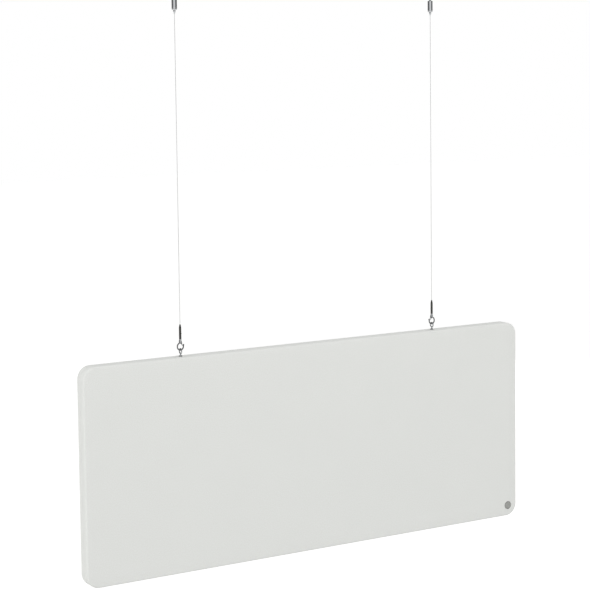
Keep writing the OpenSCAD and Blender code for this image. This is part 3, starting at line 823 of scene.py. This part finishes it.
def makeSleeveScrew():
    v = sleeveValues
    r, bore, end = v["screwRadius"], v["screwBore"], v["radius"] + v["screwProud"]
    screw = turnPiece([(r - 0.25, 1.52), (r, 1.75), (r, end - 0.2), (r - 0.06, end - 0.06),
                       (r - 0.2, end), (0.55, end), (bore, end - 0.1), (bore, end - 0.8)],
                      (leftX, 0, v["screwHeight"] * mm), segments=30)
    screw.rotation_euler = (0, pi / 2, 0)
    return screw


def makeFork():
    v = forkValues
    r, pin, top, reach = v["earRadius"], v["pinHeight"], v["top"], v["cutReach"]
    below = r + v["spare"]
    fork = turnPiece([(r - v["earThinning"] * below, pin - below), (r, pin), (r, top - 0.25),
                      (r - 0.07, top - 0.08), (r - 0.25, top), (v["stud"], top),
                      (v["stud"], top + v["studLength"] - 0.4),
                      (v["stud"] - 0.4, top + v["studLength"])], segments=48)
    fork.rotation_euler = (0, 0, offGrid)
    # Below the pin the ears end round, as the cheeks of a link. The block that cuts them is
    # wider than the fork, so that its flat sides stay clear of the fork's round side
    block = turnAcross([(r, -reach), (r, reach)], segments=62)
    block.scale = (v["blockWidth"], 1, 1)
    applyPlace(block)
    for vertex in block.data.vertices:
        if vertex.co.z > 0.04 * mm:      # the upper half moves up
            vertex.co.z += v["blockHeight"] * mm
    block.location = (0, 0, pin * mm)
    joinBoolean(fork, block, "INTERSECT")
    clearSelection()
    depth = v["slotTop"] - pin + 6
    bpy.ops.mesh.primitive_cube_add(size=1, location=(0, 0, (v["slotTop"] - depth / 2) * mm))
    slotCut = bpy.context.object
    slotCut.scale = (9 * mm, 2 * v["slotHalf"] * mm, depth * mm)
    joinBoolean(fork, slotCut, "DIFFERENCE")
    hole = turnAcross([(v["pinRadius"], -reach), (v["pinRadius"], reach)], (0, 0, pin * mm),
                      segments=32)
    hole.rotation_euler.y = offGrid
    joinBoolean(fork, hole, "DIFFERENCE")
    applyPlace(fork)
    fork.location = (leftX, 0, 0)
    return fork


def makePin():
    v = forkValues
    r, half = v["pinRadius"], v["earRadius"] + 0.2
    return turnAcross([(r - 0.3, -half), (r - 0.08, -half + 0.1), (r, -half + 0.3),
                       (r, half - 0.3), (r - 0.08, half - 0.1), (r - 0.3, half)],
                      (leftX, 0, v["pinHeight"] * mm), segments=32)


bothSides(makeSleeve(), "hookSleeve", "suspension", blackNickel, "hook_sleeve")
bothSides(makeSleeveScrew(), "sleeveScrew", "suspension", zinc,
          "sleeve_screw")
bothSides(makeFork(), "hookFork", "suspension", zinc, "hook_clevis")
bothSides(makePin(), "hookPin", "suspension", zinc, "hook_pin")
print("sleeves ready")


# Snap hooks: a bent wire welded to a flat head, with a wire gate

hookValues = {
    "wireRadius": 1.5, "bowlRadius": 7.5, "lowest": panelTop + 14.5,
    "noseRise": 4.5, "noseLean": 10,
    "spineRadius": 6, "spineTurn": 50, "spineRise": 2, "neck": -0.9, "neckShare": 0.94,
    "headRadius": 3.2, "tongue": 3, "gatePivot": (1.8, panelTop + 30.2), "gateLug": 1.9,
    "gateRadius": 0.6, "gateHalf": 2.25, "gateBend": 0.9, "bendSteps": 6,
    "gateRest": 2.6,         # how far above the bowl's middle the gate meets the nose
    "gateGap": 0.3,
    "pinGap": 0.05,          # round the pin and the gate in the head
}


# Points on an arc in the plane y = 0, from one angle to another in degrees
def arcPoints(centre, radius, start, end, steps):
    return [(centre[0] + radius * cos(radians(start + (end - start) * i / steps)), 0,
             centre[1] + radius * sin(radians(start + (end - start) * i / steps)))
            for i in range(steps + 1)]


def makeHook():
    v = hookValues
    r, bowl = v["wireRadius"], v["bowlRadius"]
    bowlHeight = v["lowest"] + bowl
    lean = radians(v["noseLean"])
    nose = (bowl + v["noseRise"] * sin(lean), bowlHeight + v["noseRise"] * cos(lean))
    # The nose ends as a half ball: the wire thins over these angles
    angles = [radians(a) for a in range(84, -1, -12)]
    tip = [(nose[0] + r * sin(a) * sin(lean), 0, nose[1] + r * sin(a) * cos(lean)) for a in angles]
    shares = [cos(a) for a in angles]
    spine = (v["spineRadius"] - bowl, bowlHeight + v["spineRise"])
    back = arcPoints(spine, v["spineRadius"], 180, 180 - v["spineTurn"], 8)
    turn = radians(v["spineTurn"])
    neck = (v["neck"], 0, back[-1][2] + (v["neck"] - back[-1][0]) / (sin(turn) / cos(turn)))
    path = tip + arcPoints((0, bowlHeight), bowl, 0, -180, 32) + back + [neck]
    # The end that is welded to the head is dressed a little thinner
    shares += [1] * (len(path) - len(shares) - 1) + [v["neckShare"]]
    hook = bentWire(path, r, shares=shares, sidesRound=8)
    # The flat head: two round bosses joined by straight flanks, its rims broken
    half = v["tongue"] / 2
    pivot = (v["gatePivot"][0] * mm, 0, v["gatePivot"][1] * mm)
    pin = (0, 0, forkValues["pinHeight"] * mm)
    head = turnAcross([(v["headRadius"], -half), (v["headRadius"], half)], pin)
    lug = turnAcross([(v["gateLug"], -half), (v["gateLug"], half)], pivot, segments=32)
    clearSelection()
    head.select_set(True)
    lug.select_set(True)
    bpy.context.view_layer.objects.active = head
    bpy.ops.object.join()
    bpy.ops.object.mode_set(mode="EDIT")
    bpy.ops.mesh.select_all(action="SELECT")
    bpy.ops.mesh.convex_hull()
    bpy.ops.object.mode_set(mode="OBJECT")
    applyPlace(head)
    applyModifier(head, "BEVEL", width=0.35 * mm, segments=3, limit_method="ANGLE",
                  angle_limit=radians(50))
    joinBoolean(hook, head, "UNION")
    reach = forkValues["cutReach"]
    for place, inside in ((pin, forkValues["pinRadius"]), (pivot, v["gateRadius"])):
        hole = turnAcross([(inside + v["pinGap"], -reach), (inside + v["pinGap"], reach)], place,
                          segments=32)
        joinBoolean(hook, hole, "DIFFERENCE")
    makeActive(hook)
    bpy.ops.object.mode_set(mode="EDIT")
    bpy.ops.mesh.select_all(action="SELECT")
    bpy.ops.mesh.remove_doubles(threshold=0.005 * mm)
    bpy.ops.mesh.dissolve_degenerate(threshold=0.005 * mm)
    bpy.ops.mesh.select_all(action="SELECT")
    bpy.ops.mesh.fill_holes(sides=0)
    bpy.ops.object.mode_set(mode="OBJECT")
    hook.location = (leftX, 0, 0)
    return hook


def makeGate():
    v = hookValues
    bowlHeight = v["lowest"] + v["bowlRadius"]
    pivotX, pivotZ = v["gatePivot"]
    lean = radians(v["noseLean"])
    noseX = v["bowlRadius"] + v["gateRest"] * sin(lean) / cos(lean)
    endX = noseX - v["wireRadius"] - v["gateRadius"] - v["gateGap"]
    endZ = bowlHeight + v["gateRest"]
    length = ((endX - pivotX) ** 2 + (endZ - pivotZ) ** 2) ** 0.5
    runX, runZ = (endX - pivotX) / length, (endZ - pivotZ) / length
    bend, half, steps = v["gateBend"], v["gateHalf"], v["bendSteps"]
    # A rounded loop, whose leg through the head runs on the pivot's own axis
    loop = []
    for along, across, start in ((length - bend, half - bend, 90), (length - bend, bend - half, 0),
                                 (bend, bend - half, -90), (bend, half - bend, -180)):
        for i in range(steps + 1):
            a = radians(start - 90 * i / steps)
            loop.append((along + bend * cos(a), across + bend * sin(a)))
    path = [(pivotX + s * runX, y, pivotZ + s * runZ) for s, y in loop]
    gate = bentWire(path, v["gateRadius"], cyclic=True, sidesRound=4)
    gate.location = (leftX, 0, 0)
    return gate


bothSides(makeHook(), "snapHook", "hook", hookSteel, "snap_hook", 40)
bothSides(makeGate(), "hookGate", "gate", springSteel, "hook_gate", 60)
print("hooks ready")


# Screw eyes, washers and badge

eyeValues = {"ringRadius": 5.6, "wireRadius": 1.4, "ringHeight": panelTop + 12.1,
             "shankRadius": 2.5, "shankEnd": panelTop - 16.5, "collarRadius": 3,
             "washerTop": panelTop + 1, "collarHeight": 1.4}
washerValues = {"radius": 4.25, "bore": 2.55, "bottom": panelTop, "thickness": 1}
badgeValues = {"x": 573, "z": panelTop - 473, "face": -18, "radius": 10, "thickness": 1.2,
               "prongStep": 9, "prongRadius": 0.8, "prongLength": 9}


def makeEye():
    v = eyeValues
    clearSelection()
    bpy.ops.mesh.primitive_torus_add(major_radius=v["ringRadius"] * mm,
                                     minor_radius=v["wireRadius"] * mm, major_segments=64,
                                     minor_segments=24, rotation=(0, pi / 2, 0),
                                     location=(0, 0, v["ringHeight"] * mm))
    ring = bpy.context.object
    applyPlace(ring)
    r, collar, seat = v["shankRadius"], v["collarRadius"], v["washerTop"]
    foot, top = v["ringHeight"] - v["ringRadius"], seat + v["collarHeight"]
    stem = turnPiece([(r - 0.6, v["shankEnd"]), (r, v["shankEnd"] + 0.6), (r, seat),
                      (collar - 0.2, seat), (collar, seat + 0.2), (collar, top - 0.35),
                      (collar - 0.35, top), (2.4, top + 0.35), (1.85, top + 0.9),
                      (1.5, foot - 0.4), (1.25, foot)], segments=40)
    applyPlace(stem)
    joinBoolean(ring, stem, "UNION")
    ring.location = (leftX, 0, 0)
    return ring


def makeWasher():
    v = washerValues
    r, bore, low = v["radius"], v["bore"], v["bottom"]
    top = low + v["thickness"]
    return turnPiece([(bore, low), (r - 0.15, low), (r, low + 0.15), (r, top - 0.4),
                      (r - 0.12, top - 0.12), (r - 0.4, top), (bore + 0.15, top),
                      (bore, top - 0.15), (bore, low)], (leftX, 0, 0), segments=48)


def makeBadge():
    v = badgeValues
    r, t = v["radius"], v["thickness"]
    badge = turnAcross([(1, 0), (r - 0.15, 0), (r, 0.15), (r, t * 0.6), (r - 0.12, t * 0.8),
                        (r - 0.4, t - 0.06), (r - 0.7, t), (r - 1.1, t), (r - 1.3, t - 0.08),
                        (r - 1.6, t * 0.7), (r - 4, t * 0.72), (1, t * 0.75)],
                       (v["x"] * mm, v["face"] * mm, v["z"] * mm), segments=64)
    applyPlace(badge)
    thin, length = v["prongRadius"], v["prongLength"]
    for k in (-1, 1):
        prong = turnAcross([(thin - 0.5, -length), (thin, -length + 1.5), (thin, 0.3)],
                           ((v["x"] + k * v["prongStep"] / 2) * mm, v["face"] * mm, v["z"] * mm),
                           segments=20)
        joinBoolean(badge, prong, "UNION")
    return badge


bothSides(makeEye(), "screwEye", "panel", eyeSteel, "screw_eye", 40)
bothSides(makeWasher(), "eyeWasher", "panel", eyeSteel, "eye_washer")
finishPiece(makeBadge(), "badgeDisc", "panel", satinNickel, ["badge_disc"])
print("eyes and badge ready")


# Inside parts keep their CAD solids and take their real finish

def pine():
    # Planed pine: pale honey wood with darker late wood lines a few mm apart
    material, tree, shader = startMaterial("planedPine", {"Roughness": 0.55})
    place = addNode(tree, "TexCoord")
    along = addNode(tree, "Mapping", {"Vector": place.outputs["Object"],
                                      "Scale": (1.0, 14.0, 14.0)})
    wander = addNode(tree, "TexNoise", {"Vector": along.outputs["Vector"], "Scale": 6.0,
                                        "Detail": 3.0})
    rings = addNode(tree, "TexWave", {"Vector": along.outputs["Vector"], "Scale": 5.0,
                                      "Distortion": 6.0, "Detail": 2.0}, bands_direction="Z")
    tree.links.new(twoTones(tree, rings.outputs["Fac"], ("#d9bd8c", "#c39a62")),
                   shader.inputs["Base Color"])
    addBump(tree, shader, wander.outputs["Fac"], 0.2, 0.2 * mm)
    return material


def woodWool():
    # Pressed wood fibre core: matt buff felt of short crossed fibres
    material, tree, shader = startMaterial("pressedWoodFibre", {"Roughness": 0.95})
    place = addNode(tree, "TexCoord")
    fibres = addNode(tree, "TexNoise", {"Vector": place.outputs["Object"], "Scale": 650.0,
                                        "Detail": 5.0, "Roughness": 0.7})
    tree.links.new(twoTones(tree, fibres.outputs["Fac"], ("#a89878", "#d2c5a6")),
                   shader.inputs["Base Color"])
    addBump(tree, shader, fibres.outputs["Fac"], 0.5, 0.6 * mm)
    return material


# Turned brass for the threaded inserts: warm yellow, bright
insertBrass = metal("turnedBrass", "#cfae63", 0.25, 0.07, 900.0, 0.01)
pineWood, coreFibre = pine(), woodWool()
insideFinishes = {
    "top_rail": pineWood, "bottom_rail": pineWood, "stile": pineWood, "corner_dowels": pineWood,
    "acoustic_core": coreFibre, "threaded_insert": insertBrass, "wire_ferrule": zinc,
    "clamp_balls": chrome,
}
for stem, material in insideFinishes.items():
    for name, node in nodes.items():
        if name == stem or name in (stem + "_left", stem + "_right"):
            for holder in node.material_slots:
                holder.material = material
print("inside parts finished")
